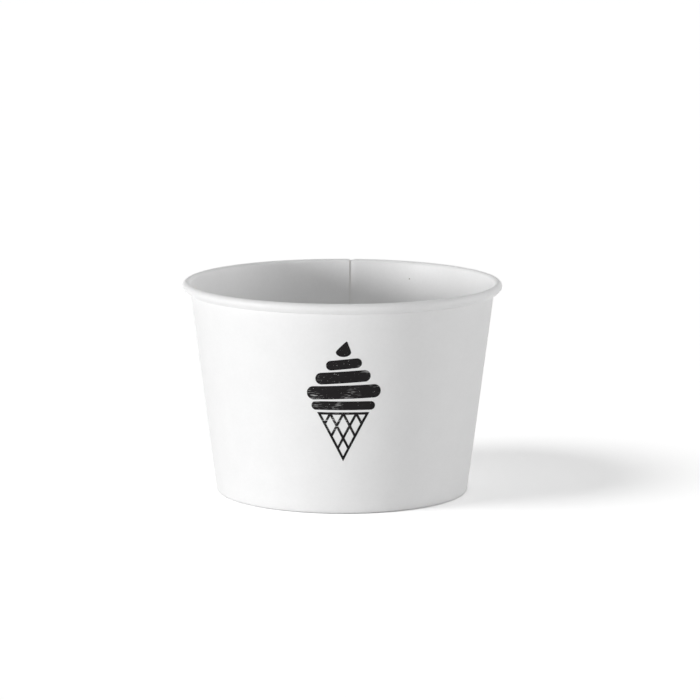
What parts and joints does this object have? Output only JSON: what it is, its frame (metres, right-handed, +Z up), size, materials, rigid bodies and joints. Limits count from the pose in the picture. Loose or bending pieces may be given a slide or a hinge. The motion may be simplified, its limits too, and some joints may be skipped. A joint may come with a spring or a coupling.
{
  "type": "paper ice cream cup",
  "caption": "White paper ice cream cup: a tapered board wall, lapped at a side seam, with a rolled rim and a folded foot that holds a recessed base.",
  "frame": {"origin": "centre of the foot ring, on the surface that the cup stands on", "axes": "+Z up along the cup's axis, towards the rim; -Y towards the front, the printed side; +Y towards the side seam"},
  "size_m": [0.095, 0.095, 0.063],
  "materials": {
    "print_ink": "matte black ink",
    "side_board": "matte coated board",
    "base_board": "matte coated board"
  },
  "bodies": {
    "root": {"side_wall": "side_board", "base_disc": "base_board"}
  },
  "joints": []
}
